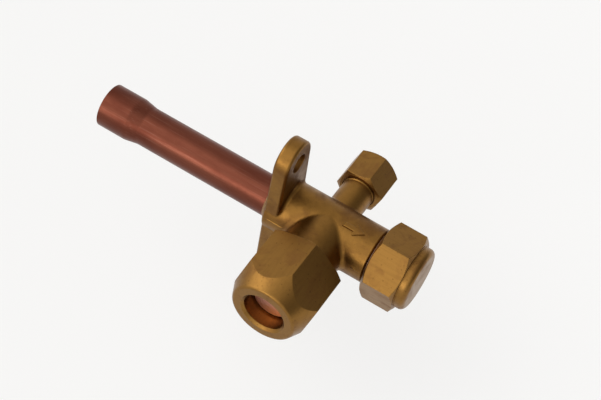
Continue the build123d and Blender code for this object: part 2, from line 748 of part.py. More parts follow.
# ---------------------------------------------------------------- STEP files
nodes = {
    "valve_body": valve_body,
    "stub_tube": stub_tube,
    "braze_ring": braze_ring,
    "valve_stem": valve_stem,
    "stem_o_ring": stem_o_ring,
    "stem_retaining_ring": stem_retaining_ring,
    "stem_cap": stem_cap,
    "stem_cap_gasket": stem_cap_gasket,
    "flare_nut": flare_nut,
    "flare_bonnet": flare_bonnet,
    "service_cap": service_cap,
    "service_cap_seal": service_cap_seal,
    "core_head": core_head,
    "core_sleeve": core_sleeve,
    "core_seal_ring": core_seal_ring,
    "core_pin": core_pin,
    "core_cup": core_cup,
    "core_cup_seal": core_cup_seal,
    "core_spring": core_spring,
}
for name, node in nodes.items():
    node.part.label = name
    export_step(node.part, f"parts/{name}.step")
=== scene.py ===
"""Looks of a brass refrigerant service valve on its packed solids, laid out as a Blender add-on."""
from math import cos, pi, radians, sin, sqrt

import bpy
from bpy.props import FloatProperty, FloatVectorProperty, IntProperty, PointerProperty
from bpy.types import Operator, Panel, PropertyGroup
from mathutils import Matrix, Vector


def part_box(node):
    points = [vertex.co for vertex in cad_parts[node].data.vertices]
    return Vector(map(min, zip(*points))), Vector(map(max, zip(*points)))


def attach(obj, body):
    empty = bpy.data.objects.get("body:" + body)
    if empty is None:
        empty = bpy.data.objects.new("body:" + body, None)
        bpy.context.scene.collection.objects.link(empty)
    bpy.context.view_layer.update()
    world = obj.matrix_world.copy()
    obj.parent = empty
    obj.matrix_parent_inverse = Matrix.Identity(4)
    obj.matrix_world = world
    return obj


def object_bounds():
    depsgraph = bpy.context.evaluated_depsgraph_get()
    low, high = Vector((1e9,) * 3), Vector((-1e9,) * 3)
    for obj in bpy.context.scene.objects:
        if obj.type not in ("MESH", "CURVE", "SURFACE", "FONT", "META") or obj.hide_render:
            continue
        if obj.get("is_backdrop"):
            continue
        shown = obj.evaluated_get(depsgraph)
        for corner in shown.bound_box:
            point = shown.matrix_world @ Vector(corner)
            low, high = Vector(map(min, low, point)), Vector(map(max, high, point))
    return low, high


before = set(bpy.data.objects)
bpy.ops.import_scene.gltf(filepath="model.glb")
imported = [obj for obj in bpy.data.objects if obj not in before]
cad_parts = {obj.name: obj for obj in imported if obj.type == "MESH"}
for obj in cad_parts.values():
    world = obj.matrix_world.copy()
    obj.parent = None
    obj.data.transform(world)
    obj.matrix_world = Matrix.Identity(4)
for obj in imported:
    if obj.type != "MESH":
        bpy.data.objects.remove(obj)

bl_info = {
    "name": "Refrigerant Service Valve",
    "version": (1, 0, 0),
    "blender": (4, 5, 0),
    "location": "View3D > Sidebar > Service Valve",
    "description": "Finishes, screw threads, forged marks and studio of a flare service valve",
    "category": "Object",
}

MM = 0.001
UP = Vector((0, 0, 1))
STEM_AXIS = Vector((1, 0, 0))
FLARE_AXIS = Vector((0, -1, 0))
SERVICE_AXIS = Vector((0, 1, 0))

# threads
STRIP_POINTS = 4  # across the ridge: one at each foot and two on the crest
FLANK_SPREAD = 1.76  # puts a foot 0.44 of a pitch from the middle of the crest
CREST_GAIN = 3.0  # brings the two inner points to the full height
FADE_GAIN = 3.0  # the ridge rises over a third of a turn at each end
THREAD_SINK = 0.03 * MM  # of a ridge's feet into its cylinder
INNER_GAP = 0.13 * MM  # between a crest and the feet of the thread that runs on it
INNER_RELIEF = 0.1 * MM  # how much lower the inner ridge is

# flow arrow and parting line
MARK_SINK = 0.15 * MM  # of the arrow's foot into the barrel
MARK_SLOPE = 0.22 * MM  # spread of its foot and inset of its top
MARK_SHOULDER = 0.8  # share of its height where the sides break
MARK_EDGE = 0.1 * MM  # radius of the rounded edges, painted brighter, partly as wear and partly as a painted highlight
HEAD_SHARE = 0.8  # length of the arrow's head over its width
FLASH_RUNS = ((-1, 1.0, 8.2), (-1, 31.2, 34.8), (1, 1.0, 11.6), (1, 25.6, 34.8))  # side, start and end in mm
FLASH_ROWS, FLASH_COLUMNS = 40, 6
FLASH_SINK = 0.04 * MM
FLASH_FADE = 6  # one sixth of a run fades out at each end
LONG_WANDER, LONG_WAVES = 0.05 * MM, 9.0
SHORT_WANDER, SHORT_WAVES = 0.03 * MM, 23.0

# studio
SENSOR_MM = 36
CLIP_NEAR, CLIP_FAR = 0.01, 20
FLOOR_HALF = 3.0
LAMP_PLACE = (-0.22, -0.85, 0.25)
LAMP_SIZE = (0.55, 0.24)
WARM_WHITE = (1.0, 0.98, 0.95)
# sides of the room: direction, cosines where the light begins and is full, share of a setting, the setting
ROOM_SIDES = (
    ((-0.25, -0.80, 0.50), 0.3, 0.9, 1.15, "window"),  # front
    ((-0.25, -0.95, 0.15), 0.84, 1.0, 1.0, "window"),  # low in front
    ((-0.75, 0.45, 0.45), 0.2, 1.0, 0.7, "room"),  # left, towards the back
    ((-0.75, -0.20, 0.62), 0.78, 1.0, 2.0, "window"),  # high on the left
    ((0.95, 0.25, 0.15), 0.1, 0.9, -0.5, "room"),  # dark right
)


# ---------------------------------------------------------------- settings
def length(name, description, millimetres):
    """A length property with its default given in millimetres."""
    return FloatProperty(
        name=name, description=description, default=millimetres * MM, unit="LENGTH", precision=5
    )


def colour(name, description, red, green, blue):
    return FloatVectorProperty(
        name=name, description=description, default=(red, green, blue), subtype="COLOR", size=3, min=0, max=1
    )


def factor(name, description, value, high=1.0):
    return FloatProperty(name=name, description=description, default=value, min=0, max=high, subtype="FACTOR")


def angle(name, description, degrees):
    return FloatProperty(name=name, description=description, default=radians(degrees), subtype="ANGLE")


def count(name, description, turns):
    return FloatProperty(name=name, description=description, default=turns, min=1)


class ValveThreads(PropertyGroup):
    """Screw threads that stand on the plain cylinders of the solids."""

    neck_radius: length("Neck root radius", "Root of the thread that the stem cap screws on", 7.3)
    neck_crest: length("Neck crest radius", "Crest of the thread on the neck", 7.95)
    neck_start: length("Neck thread start", "Distance of its first turn from the flange", 38.7)
    neck_pitch: length("Neck pitch", "Pitch of the stem cap's thread", 1.5)
    neck_turns: count("Neck turns", "Turns on the neck", 4.6)
    flare_radius: length("Flare root radius", "Root of the flare connection's thread", 8.745)
    flare_crest: length("Flare crest radius", "Crest of the flare connection's thread", 9.5)
    flare_start: length("Flare thread start", "Distance of its first turn from the stem axis", 19.0)
    flare_pitch: length("Flare pitch", "Pitch of the 3/4-16 thread", 1.5875)
    flare_turns: count("Flare turns", "Turns on the flare end", 4.8)
    service_radius: length("Service root radius", "Root of the service port's thread", 4.956)
    service_crest: length("Service crest radius", "Crest of the service port's thread", 5.53)
    service_start: length("Service thread start", "Distance of its first turn from the stem axis", 20.0)
    service_pitch: length("Service pitch", "Pitch of the 7/16-20 thread", 1.27)
    service_turns: count("Service turns", "Turns on the service port", 3.6)
    facets: IntProperty(name="Facets per turn", description="Steps round one turn", default=64, min=12)


class ValveMark(PropertyGroup):
    """Raised flow arrow and parting line on the barrel."""

    barrel: length("Barrel radius", "Radius of the barrel that the arrow stands on", 9.0)
    middle: length("Distance", "Middle of the arrow from the flange", 27.2)
    reach: length("Length", "Length of the arrow along the barrel", 7.0)
    head: length("Head width", "Width of the arrow's head round the barrel", 4.0)
    shaft: length("Shaft width", "Width of the arrow's shaft round the barrel", 1.5)
    height: length("Height", "How far the arrow stands proud", 0.55)
    flash_level: length("Flash level", "Height of the forging's parting line over the stem axis", 1.25)
    flash_width: length("Flash width", "Width of the trimmed flash", 0.55)
    flash_height: length("Flash height", "How far the trimmed flash stands proud", 0.12)
    lean: angle("Angle", "Turn from the top towards the flare side", 10)


class ValveFinish(PropertyGroup):
    """Colours and wear of the metals, seals and braze."""

    forged: colour("Forged brass", "Satin face of the forged body", 0.245, 0.122, 0.028)
    turned: colour("Turned brass", "Satin face of nut and caps", 0.25, 0.127, 0.031)
    stain: colour("Brass stain", "Brown tarnish in blotches and spots", 0.072, 0.030, 0.010)
    drawn: colour("Drawn copper", "Dull face of the stub tube", 0.160, 0.050, 0.030)
    oxide: colour("Copper oxide", "Dark brown blotches on the tube", 0.062, 0.015, 0.009)
    pressed: colour("Pressed copper", "Bright face of the sealing bonnet", 0.85, 0.45, 0.34)
    braze: colour("Braze alloy", "Fillet between tube and flange", 0.30, 0.20, 0.09)
    steel: colour("Phosphated steel", "Stop ring, core pin and spring", 0.16, 0.16, 0.165)
    rubber: colour("Seal rubber", "O-ring and rubber discs", 0.018, 0.018, 0.020)
    plastic: colour("Seal plastic", "Gasket and core ring", 0.16, 0.075, 0.035)
    tarnish: factor("Tarnish", "How much of the brass is stained", 0.5)
    grain: factor("Grain", "Height of the forged and drawn grain", 0.5)


class ValveStage(PropertyGroup):
    """Camera, floor, lamp and room."""

    azimuth: angle("Azimuth", "Camera round the valve", 22.44)
    elevation: angle("Elevation", "Camera over the horizon", 52.05)
    roll: angle("Roll", "Camera about its own axis", 11.57)
    distance: length("Distance", "Camera to its target", 447.96)
    target_x: length("Target x", "Point on the stem axis that the camera faces", 7.76)
    target_z: length("Target z", "Height of the camera's target over the stem axis", 6.20)
    lens: FloatProperty(name="Lens", description="Focal length in mm on a 36 mm frame", default=88.99, min=10)
    floor_drop: length("Floor drop", "Gap between the lowest point and the floor", 22.0)
    floor: colour("Floor", "Pale floor", 0.80, 0.80, 0.79)
    key: FloatProperty(
        name="Key light", description="Power of the large soft lamp", default=0.9, min=0, unit="POWER"
    )
    glow: factor("Floor glow", "Share of plain white in what is seen of the floor", 0.7)
    room: factor("Room light", "Level of the room round the valve", 0.52, 2.0)
    window: factor("Window light", "Level of the bright sides, in front and to the left", 0.65, 4.0)


SETTINGS = {
    "valve_threads": ValveThreads,
    "valve_mark": ValveMark,
    "valve_finish": ValveFinish,
    "valve_stage": ValveStage,
}


# ---------------------------------------------------------------- node helpers
def add_node(tree, kind, inputs=None, **settings):
    """Adds a node; a socket among its inputs is linked and anything else is set."""
    node = tree.nodes.new(kind)
    for name, value in settings.items():
        setattr(node, name, value)
    for key, value in (inputs or {}).items():
        if isinstance(value, bpy.types.NodeSocket):
            tree.links.new(value, node.inputs[key])
        else:
            node.inputs[key].default_value = value
    return node


def add_maths(tree, operation, first, second=0.0, clamp=False):
    node = add_node(tree, "ShaderNodeMath", {0: first, 1: second}, operation=operation, use_clamp=clamp)
    return node.outputs["Value"]


def add_object(name, data):
    piece = bpy.data.objects.new(name, data)
    bpy.context.scene.collection.objects.link(piece)
    return piece


def add_mesh_object(name, points, faces, material):
    mesh = bpy.data.meshes.new(name)
    mesh.from_pydata(points, [], faces)
    mesh.update()
    mesh.materials.append(material)
    return add_object(name, mesh)


def rgba(rgb, share=1.0):
    return (rgb[0] * share, rgb[1] * share, rgb[2] * share, 1.0)


class Finish:
    """Builds one procedural material on Object coordinates."""

    SPOT_CORE = 0.45  # share of a spot's size inside which it is whole
    BEVEL_SAMPLES = 6
    EDGE_FROM, EDGE_FULL = 0.995, 0.80  # cosine between the rounded and the flat normal

    def __init__(self, name):
        self.material = bpy.data.materials.new(name)
        self.material.use_nodes = True
        self.tree = self.material.node_tree
        self.tree.nodes.clear()
        self.where = add_node(self.tree, "ShaderNodeTexCoord").outputs["Object"]

    def stretched(self, scale):
        """Object coordinates with each axis scaled by its own number."""
        inputs = {"Vector": self.where, "Scale": scale}
        return add_node(self.tree, "ShaderNodeMapping", inputs).outputs["Vector"]

    def streaks(self, scale, detail, roughness):
        """Noise with its own scale along each axis."""
        return self.noise(1.0, detail, roughness, where=self.stretched(scale))

    def noise(self, scale, detail=3.0, roughness=0.55, where=None, distortion=0.0):
        inputs = {
            "Vector": where or self.where,
            "Scale": scale,
            "Detail": detail,
            "Roughness": roughness,
            "Distortion": distortion,
        }
        return add_node(self.tree, "ShaderNodeTexNoise", inputs).outputs["Fac"]

    def spots(self, scale, size):
        """1 in small round spots of the given share of a cell, and 0 between them."""
        cells = add_node(self.tree, "ShaderNodeTexVoronoi", {"Vector": self.where, "Scale": scale})
        return self.ramp(cells.outputs["Distance"], size, size * self.SPOT_CORE)

    def ramp(self, value, low, high):
        """0 at low and 1 at high, smoothly."""
        inputs = {"Value": value, "From Min": low, "From Max": high}
        return add_node(
            self.tree, "ShaderNodeMapRange", inputs, interpolation_type="SMOOTHSTEP", clamp=True
        ).outputs["Result"]

    def maths(self, operation, first, second=0.0):
        return add_maths(self.tree, operation, first, second)

    def total(self, base, *parts):
        """base plus each part's value times its weight."""
        for value, weight in parts:
            base = self.maths("ADD", self.maths("MULTIPLY", value, weight), base)
        return base

    def mix(self, share, first, second):
        inputs = {0: share, 6: first, 7: second}
        return add_node(self.tree, "ShaderNodeMix", inputs, data_type="RGBA").outputs[2]

    def layer(self, under, mask, share, over):
        """over laid on under where mask is 1, at the given share."""
        return self.mix(self.maths("MULTIPLY", mask, share), under, over)

    def edges(self, radius):
        """(normal rounded over the edges, 1 along convex and concave edges)."""
        bevel = add_node(self.tree, "ShaderNodeBevel", {"Radius": radius}, samples=self.BEVEL_SAMPLES)
        rounded = bevel.outputs["Normal"]
        flat = add_node(self.tree, "ShaderNodeNewGeometry").outputs["Normal"]
        along = add_node(self.tree, "ShaderNodeVectorMath", {0: rounded, 1: flat}, operation="DOT_PRODUCT")
        return rounded, self.ramp(along.outputs["Value"], self.EDGE_FROM, self.EDGE_FULL)

    def bump(self, height, distance, normal=None):
        inputs = {"Height": height, "Distance": distance, "Strength": 1.0}
        if normal is not None:
            inputs["Normal"] = normal
        return add_node(self.tree, "ShaderNodeBump", inputs).outputs["Normal"]

    def surface(self, **inputs):
        """Closes the material with one Principled shader; its inputs have underscores for spaces."""
        named = {key.replace("_", " "): value for key, value in inputs.items()}
        shader = add_node(self.tree, "ShaderNodeBsdfPrincipled", named)
        add_node(self.tree, "ShaderNodeOutputMaterial", {"Surface": shader.outputs["BSDF"]})
        return self.material


# ---------------------------------------------------------------- materials
def forged_brass(look, name="forged_brass", edge_radius=0.35 * MM):
    """Sand-blasted forging: fine pitted grain, brown tarnish in broad blotches and clouds, and edges painted
    brighter, partly as rubbed wear and partly as a painted highlight.
    """
    m = Finish(name)
    blotch = m.ramp(m.noise(150, detail=4, roughness=0.6, distortion=0.4), low=0.42, high=0.72)
    cloud = m.ramp(m.noise(420), low=0.35, high=0.75)
    pits = m.spots(1500, size=0.24)
    rounded, edge = m.edges(edge_radius)
    paint = m.layer(rgba(look.forged), blotch, 0.35 + 0.5 * look.tarnish, rgba(look.stain, 1.9))
    paint = m.layer(paint, cloud, 0.22, rgba(look.forged, 0.55))
    paint = m.layer(paint, pits, 0.45 * look.tarnish, rgba(look.stain))
    # painted highlight: every convex and concave edge is painted half again as bright; on convex edges this also
    # stands for rubbed wear
    paint = m.layer(paint, edge, 0.45, rgba(look.forged, 1.5))
    rough = m.total(0.34, (blotch, 0.12), (cloud, 0.06))
    grain = m.total(m.noise(2600, detail=4, roughness=0.65), (m.noise(700), 1.6))
    normal = m.bump(grain, 0.05 * MM * look.grain, rounded)
    return m.surface(Base_Color=paint, Metallic=1.0, Roughness=rough, Normal=normal)


def turned_brass(look, name, axis):
    """Machined bar: faint tool lines round its own axis, handling stains, dark specks, and corners painted
    brighter, partly as rubbed wear and partly as a painted highlight.
    """
    m = Finish(name)
    streaks = m.streaks(tuple(90.0 if part else 1500.0 for part in axis), detail=3, roughness=0.6)
    lines = m.streaks(tuple(5200.0 if part else 60.0 for part in axis), detail=2, roughness=0.5)
    blotch = m.ramp(m.noise(170, detail=4, roughness=0.62, distortion=0.8), low=0.46, high=0.70)
    specks = m.spots(620, size=0.20)
    dots = m.spots(1900, size=0.17)
    rounded, edge = m.edges(0.3 * MM)
    paint = m.layer(rgba(look.turned), blotch, 0.22 + 0.4 * look.tarnish, rgba(look.stain, 2.2))
    paint = m.layer(paint, m.ramp(streaks, low=0.4, high=0.7), 0.16, rgba(look.turned, 0.5))
    paint = m.layer(paint, specks, 0.7 * look.tarnish, rgba(look.stain, 0.9))
    paint = m.layer(paint, dots, 0.35 * look.tarnish, rgba(look.stain))
    # painted highlight: every convex and concave edge is painted 1.6 times as bright; on convex corners this
    # also stands for rubbed wear
    paint = m.layer(paint, edge, 0.5, rgba(look.turned, 1.6))
    rough = m.total(0.30, (blotch, 0.12), (streaks, 0.08))
    height = m.total(0.0, (lines, 0.5), (streaks, 0.6), (specks, -0.4))
    normal = m.bump(height, 0.02 * MM * look.grain, rounded)
    return m.surface(Base_Color=paint, Metallic=1.0, Roughness=rough, Normal=normal)


def drawn_copper(look):
    """Tube left dull by the draw bench: long fine streaks, bright scratches and brown oxide clouds."""
    m = Finish("drawn_copper")
    streaks = m.streaks((22.0, 900.0, 900.0), detail=3, roughness=0.6)
    scratches = m.ramp(m.streaks((60.0, 4200.0, 4200.0), detail=2, roughness=0.5), low=0.60, high=0.72)
    drift = m.noise(70, detail=4, roughness=0.6, where=m.stretched((0.6, 1.6, 1.6)))
    cloud = m.ramp(drift, low=0.38, high=0.70)
    rounded, edge = m.edges(0.2 * MM)
    paint = m.layer(rgba(look.drawn), cloud, 0.65, rgba(look.oxide, 1.5))
    paint = m.layer(paint, m.ramp(streaks, low=0.40, high=0.72), 0.35, rgba(look.oxide, 2.0))
    paint = m.layer(paint, scratches, 0.18, rgba(look.pressed, 0.45))
    paint = m.layer(paint, edge, 0.35, rgba(look.pressed, 0.6))
    rough = m.total(0.27, (streaks, 0.14), (cloud, 0.08))
    grain = m.maths("ADD", streaks, m.noise(900, detail=2))
    normal = m.bump(grain, 0.03 * MM * look.grain, rounded)
    return m.surface(Base_Color=paint, Metallic=1.0, Roughness=rough, Normal=normal)


def pressed_copper(look):
    """Bright stamped sheet: soft brown clouds, faint press grain and brighter edges."""
    m = Finish("pressed_copper")
    cloud = m.ramp(m.noise(260, roughness=0.6), low=0.40, high=0.75)
    rounded, edge = m.edges(0.2 * MM)
    paint = m.layer(rgba(look.pressed), cloud, 0.35, rgba(look.drawn, 1.4))
    paint = m.layer(paint, edge, 0.4, rgba(look.pressed, 1.2))
    rough = m.total(0.34, (cloud, 0.12))
    normal = m.bump(m.noise(2400, roughness=0.6), 0.02 * MM * look.grain, rounded)
    return m.surface(Base_Color=paint, Metallic=1.0, Roughness=rough, Normal=normal)


def braze_alloy(look):
    """Frozen fillet: lumpy ripples and dark flux freckles."""
    m = Finish("braze_alloy")
    ripple = m.noise(520, roughness=0.6, distortion=1.2)
    paint = m.mix(m.ramp(ripple, low=0.4, high=0.7), rgba(look.braze), rgba(look.drawn, 1.6))
    paint = m.layer(paint, m.spots(1300, size=0.25), 0.7, rgba(look.stain, 0.6))
    rough = m.total(0.25, (ripple, 0.25))
    return m.surface(Base_Color=paint, Metallic=1.0, Roughness=rough, Normal=m.bump(ripple, 0.12 * MM))


def phosphated_steel(look):
    """Grey phosphate coat with fine crystals and rubbed edges."""
    m = Finish("phosphated_steel")
    crystals = m.noise(3800, detail=4, roughness=0.7)
    cloud = m.ramp(m.noise(500), low=0.35, high=0.7)
    rounded, edge = m.edges(0.1 * MM)
    paint = m.layer(rgba(look.steel), cloud, 0.4, rgba(look.steel, 0.55))
    paint = m.layer(paint, edge, 0.6, rgba(look.steel, 3.0))
    rough = m.total(0.35, (crystals, 0.2))
    normal = m.bump(crystals, 0.02 * MM, rounded)
    return m.surface(Base_Color=paint, Metallic=0.9, Roughness=rough, Normal=normal)


def seal_rubber(look):
    """Moulded rubber with a faint bloom."""
    m = Finish("seal_rubber")
    bloom = m.ramp(m.noise(600), low=0.45, high=0.8)
    paint = m.layer(rgba(look.rubber), bloom, 0.5, rgba(look.rubber, 3.0))
    rough = m.total(0.5, (bloom, 0.15))
    normal = m.bump(m.noise(3000, roughness=0.6), 0.02 * MM)
    return m.surface(Base_Color=paint, Roughness=rough, Normal=normal)


def seal_plastic(look):
    """Amber turned plastic with faint tool lines and a little light through it."""
    m = Finish("seal_plastic")
    cloud = m.ramp(m.noise(400), low=0.4, high=0.8)
    lines = m.noise(2200, detail=2)
    paint = m.layer(rgba(look.plastic), cloud, 0.5, rgba(look.plastic, 0.7))
    rough = m.total(0.35, (lines, 0.2))
    return m.surface(
        Base_Color=paint,
        Roughness=rough,
        Subsurface_Weight=0.15,
        Subsurface_Radius=(1.0 * MM, 1.0 * MM, 1.0 * MM),
        Normal=m.bump(lines, 0.015 * MM),
    )


def port_brass(look):
    """Turned brass of the core and of every thread, made once."""
    name = "turned_brass_body"
    return bpy.data.materials.get(name) or turned_brass(look, name, SERVICE_AXIS)


def mark_brass(look):
    """Forged brass with narrow edges for low relief, made once; the edges are painted brighter, partly as wear
    and partly as a painted highlight.
    """
    name = "forged_mark"
    return bpy.data.materials.get(name) or forged_brass(look, name, MARK_EDGE)


def dress(names, material):
    """Gives the material to CAD nodes through their own slots."""
    for name in names:
        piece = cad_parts[name]
        if not piece.material_slots:
            piece.data.materials.append(material)
        for place in piece.material_slots:
            place.material = material


# ---------------------------------------------------------------- thread ridges by Geometry Nodes
def thread_tree():
    """A helical ridge about +Z: a strip of four points across, wound round and faded out at both ends."""
    tree = bpy.data.node_groups.new("thread_ridge", "GeometryNodeTree")
    sockets = {
        "Root Radius": "NodeSocketFloat",
        "Height": "NodeSocketFloat",
        "Pitch": "NodeSocketFloat",
        "Start": "NodeSocketFloat",
        "Turns": "NodeSocketFloat",
        "Steps": "NodeSocketInt",
        "Inside": "NodeSocketBool",
        "Material": "NodeSocketMaterial",
    }
    for name, kind in sockets.items():
        tree.interface.new_socket(name=name, in_out="INPUT", socket_type=kind)
    tree.interface.new_socket(name="Geometry", in_out="OUTPUT", socket_type="NodeSocketGeometry")
    size = add_node(tree, "NodeGroupInput").outputs

    def maths(operation, first, second=0.0, clamp=False):
        return add_maths(tree, operation, first, second, clamp)

    grid = {"Size X": 1.0, "Size Y": 1.0, "Vertices X": size["Steps"], "Vertices Y": STRIP_POINTS}
    strip = add_node(tree, "GeometryNodeMeshGrid", grid)
    position = add_node(tree, "GeometryNodeInputPosition").outputs[0]
    place = add_node(tree, "ShaderNodeSeparateXYZ", {0: position})
    run = maths("ADD", place.outputs["X"], 0.5)
    across = place.outputs["Y"]
    distance_in = maths("ABSOLUTE", across)
    turned_by = maths("MULTIPLY", run, size["Turns"])
    angle_round = maths("MULTIPLY", turned_by, 2 * pi)
    # 60 degree flanks: the two inner points lie close together on the crest
    flank = maths("MULTIPLY", maths("MULTIPLY", across, distance_in), FLANK_SPREAD)
    rise = maths("ADD", maths("MULTIPLY", turned_by, size["Pitch"]), maths("MULTIPLY", flank, size["Pitch"]))
    crest = maths("MULTIPLY", maths("SUBTRACT", 0.5, distance_in), CREST_GAIN, clamp=True)
    nearest_end = maths("MINIMUM", turned_by, maths("SUBTRACT", size["Turns"], turned_by))
    ends = maths("MULTIPLY", nearest_end, FADE_GAIN, clamp=True)
    height = maths("MULTIPLY", maths("MULTIPLY", crest, ends), size["Height"])
    sense = maths("SUBTRACT", 1.0, maths("MULTIPLY", size["Inside"], 2.0))
    radius = maths("ADD", size["Root Radius"], maths("MULTIPLY", height, sense))
    helix = {
        "X": maths("MULTIPLY", radius, maths("COSINE", angle_round)),
        "Y": maths("MULTIPLY", radius, maths("SINE", angle_round)),
        "Z": maths("ADD", rise, size["Start"]),
    }
    spot = add_node(tree, "ShaderNodeCombineXYZ", helix).outputs[0]
    wound = add_node(tree, "GeometryNodeSetPosition", {"Geometry": strip.outputs["Mesh"], "Position": spot})
    flipped = add_node(tree, "GeometryNodeFlipFaces", {"Mesh": wound.outputs[0]})
    sides = {"Switch": size["Inside"], "False": flipped.outputs[0], "True": wound.outputs[0]}
    sided = add_node(tree, "GeometryNodeSwitch", sides, input_type="GEOMETRY")
    whole = add_node(tree, "GeometryNodeRealizeInstances", {0: sided.outputs[0]})
    finish = {"Geometry": whole.outputs[0], "Material": size["Material"]}
    painted = add_node(tree, "GeometryNodeSetMaterial", finish)
    add_node(tree, "NodeGroupOutput", {0: painted.outputs[0]})
    return tree


def wind_thread(name, axis, centre, values):
    """Runs the thread tree with these inputs and returns its result as a plain mesh about the given axis."""
    tree = bpy.data.node_groups.get("thread_ridge") or thread_tree()
    carrier = add_object(name + "_carrier", bpy.data.meshes.new(name + "_carrier"))
    modifier = carrier.modifiers.new("Thread", "NODES")
    modifier.node_group = tree
    for socket in tree.interface.items_tree:
        if socket.in_out == "INPUT":
            modifier[socket.identifier] = values[socket.name]
    seen = carrier.evaluated_get(bpy.context.evaluated_depsgraph_get())
    mesh = bpy.data.meshes.new_from_object(seen)
    bpy.data.objects.remove(carrier)
    if not mesh.polygons:
        raise RuntimeError("the thread tree made no faces for " + name)
    mesh.name = name
    turn = UP.rotation_difference(axis).to_matrix().to_4x4()
    mesh.transform(Matrix.Translation(centre) @ turn)
    return add_object(name, mesh)


def threaded_pair(context, label, axis, centre, outer_body):
    """A ridge on the valve body and, half a pitch on, the one inside the nut or cap that runs on it."""
    size = context.scene.valve_threads
    root, crest, start, pitch, turns = (
        getattr(size, f"{label}_{part}") for part in ("radius", "crest", "start", "pitch", "turns")
    )
    material = port_brass(context.scene.valve_finish)
    male = {
        "Root Radius": root - THREAD_SINK,
        "Height": crest - root + THREAD_SINK,
        "Pitch": pitch,
        "Start": start,
        "Turns": turns,
        "Steps": int(turns * size.facets),
        "Inside": False,
        "Material": material,
    }
    piece = wind_thread(label + "_thread", axis, centre, male)
    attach(piece, "valve")
    female = {
        "Root Radius": crest + INNER_GAP,
        "Height": crest - root - INNER_RELIEF,
        "Pitch": pitch,
        "Start": start + 0.5 * pitch,
        "Turns": turns - 1,
        "Steps": int((turns - 1) * size.facets),
        "Inside": True,
        "Material": material,
    }
    inside = wind_thread(label + "_inner_thread", axis, centre, female)
    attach(inside, outer_body)


# ---------------------------------------------------------------- operators
class VALVE_OT_brass(Operator):
    """Finish the forged body, the turned nut and caps and the stem in brass"""

    bl_idname = "valve.brass"
    bl_label = "Brass"

    def execute(self, context):
        look = context.scene.valve_finish
        dress(["valve_body"], forged_brass(look))
        dress(["stem_cap", "valve_stem"], turned_brass(look, "turned_brass_stem", STEM_AXIS))
        dress(["flare_nut"], turned_brass(look, "turned_brass_nut", FLARE_AXIS))
        dress(["service_cap"], turned_brass(look, "turned_brass_service", SERVICE_AXIS))
        dress(["core_head", "core_sleeve", "core_cup"], port_brass(look))
        return {"FINISHED"}


class VALVE_OT_copper(Operator):
    """Finish the stub tube, its braze fillet and the sealing bonnet"""

    bl_idname = "valve.copper"
    bl_label = "Copper and Braze"

    def execute(self, context):
        look = context.scene.valve_finish
        dress(["stub_tube"], drawn_copper(look))
        dress(["flare_bonnet"], pressed_copper(look))
        dress(["braze_ring"], braze_alloy(look))
        return {"FINISHED"}


class VALVE_OT_small_parts(Operator):
    """Finish the stop ring, the valve core's steel, and every seal"""

    bl_idname = "valve.small_parts"
    bl_label = "Steel and Seals"

    def execute(self, context):
        look = context.scene.valve_finish
        dress(["stem_retaining_ring", "core_pin", "core_spring"], phosphated_steel(look))
        dress(["stem_o_ring", "service_cap_seal", "core_cup_seal"], seal_rubber(look))
        dress(["stem_cap_gasket", "core_seal_ring"], seal_plastic(look))
        return {"FINISHED"}


class VALVE_OT_threads(Operator):
    """Wind the threads of the neck, the flare connection and the service port, and those that run on them"""

    bl_idname = "valve.threads"
    bl_label = "Threads"

    def execute(self, context):
        ports = Vector((sum(corner[0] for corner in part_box("flare_nut")) / 2, 0, 0))
        threaded_pair(context, "neck", STEM_AXIS, Vector(), "cap")
        threaded_pair(context, "flare", FLARE_AXIS, ports, "nut")
        threaded_pair(context, "service", SERVICE_AXIS, ports, "service_plug")
        return {"FINISHED"}


def arrow_outline(mark):
    """Corners of a plain arrow pointing along +x, as (distance along, distance round), anticlockwise."""
    tail, tip = -mark.reach / 2, mark.reach / 2
    neck = tip - mark.head * HEAD_SHARE
    shaft, head = mark.shaft / 2, mark.head / 2
    near_side = [(tail, -shaft), (neck, -shaft), (neck, -head)]
    far_side = [(neck, head), (neck, shaft), (tail, shaft)]
    return near_side + [(tip, 0)] + far_side


def sign(value):
    return (value > 0) - (value < 0)


class VALVE_OT_flow_arrow(Operator):
    """Raise a plain flow arrow on the barrel, with sloped forged sides"""

    bl_idname = "valve.flow_arrow"
    bl_label = "Flow Arrow"

    def execute(self, context):
        mark = context.scene.valve_mark
        outline = arrow_outline(mark)
        rings = (
            (-MARK_SINK, -MARK_SLOPE),
            (mark.height * MARK_SHOULDER, 0.0),
            (mark.height, MARK_SLOPE),
        )
        points = []
        for height, inset in rings:
            radius = mark.barrel + height
            for along, across in outline:
                turn = mark.lean + (across - inset * sign(across)) / mark.barrel
                reach = mark.middle + along - inset * sign(along)
                points.append((reach, -radius * sin(turn), radius * cos(turn)))
        corners = len(outline)
        top = range(2 * corners, 3 * corners)
        faces = [tuple(reversed(top))]
        for low in (0, corners):
            high = low + corners
            for k in range(corners):
                after = (k + 1) % corners
                faces.append((low + after, low + k, high + k, high + after))
        piece = add_mesh_object("flow_arrow", points, faces, mark_brass(context.scene.valve_finish))
        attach(piece, "valve")
        return {"FINISHED"}


